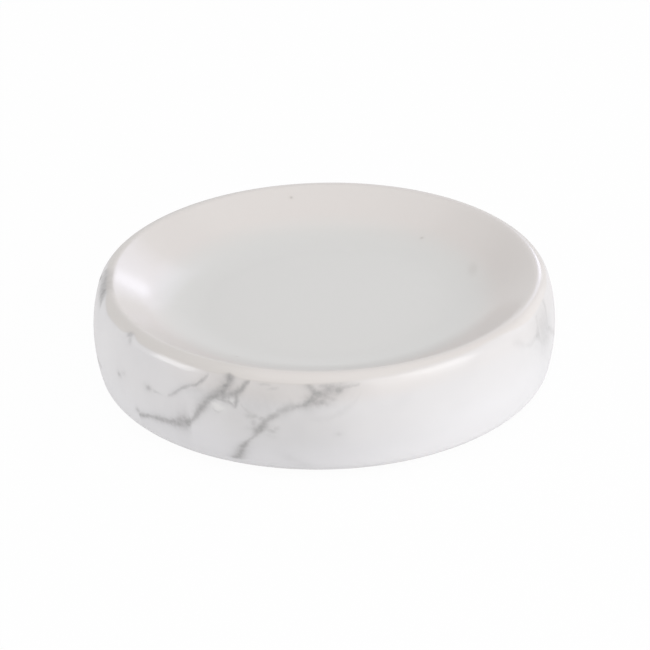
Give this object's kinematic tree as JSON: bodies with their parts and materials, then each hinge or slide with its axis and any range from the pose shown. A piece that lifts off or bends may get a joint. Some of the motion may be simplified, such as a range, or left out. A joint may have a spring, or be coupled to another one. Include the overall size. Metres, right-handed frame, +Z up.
{
  "type": "soap dish",
  "caption": "Round glazed ceramic soap dish with a plump veined wall, a rolled rim and a shallow bowl, hollowed underneath inside a foot ring that stands on non-slip pads.",
  "frame": {"origin": "middle of the circle on which the non-slip pads stand, on the surface below the dish", "axes": "+Z up along the dish's axis of revolution, out of the bowl; -Y towards the viewer of the picture, +X to their right"},
  "size_m": [0.12, 0.12, 0.028],
  "materials": {
    "glazed_ceramic": "clear gloss glaze, grey veined print on the wall",
    "pad_rubber": "matte, slightly milky"
  },
  "bodies": {
    "root": {"dish_body": "glazed_ceramic", "pad_1": "pad_rubber", "pad_2": "pad_rubber", "pad_3": "pad_rubber", "pad_4": "pad_rubber"}
  },
  "joints": []
}
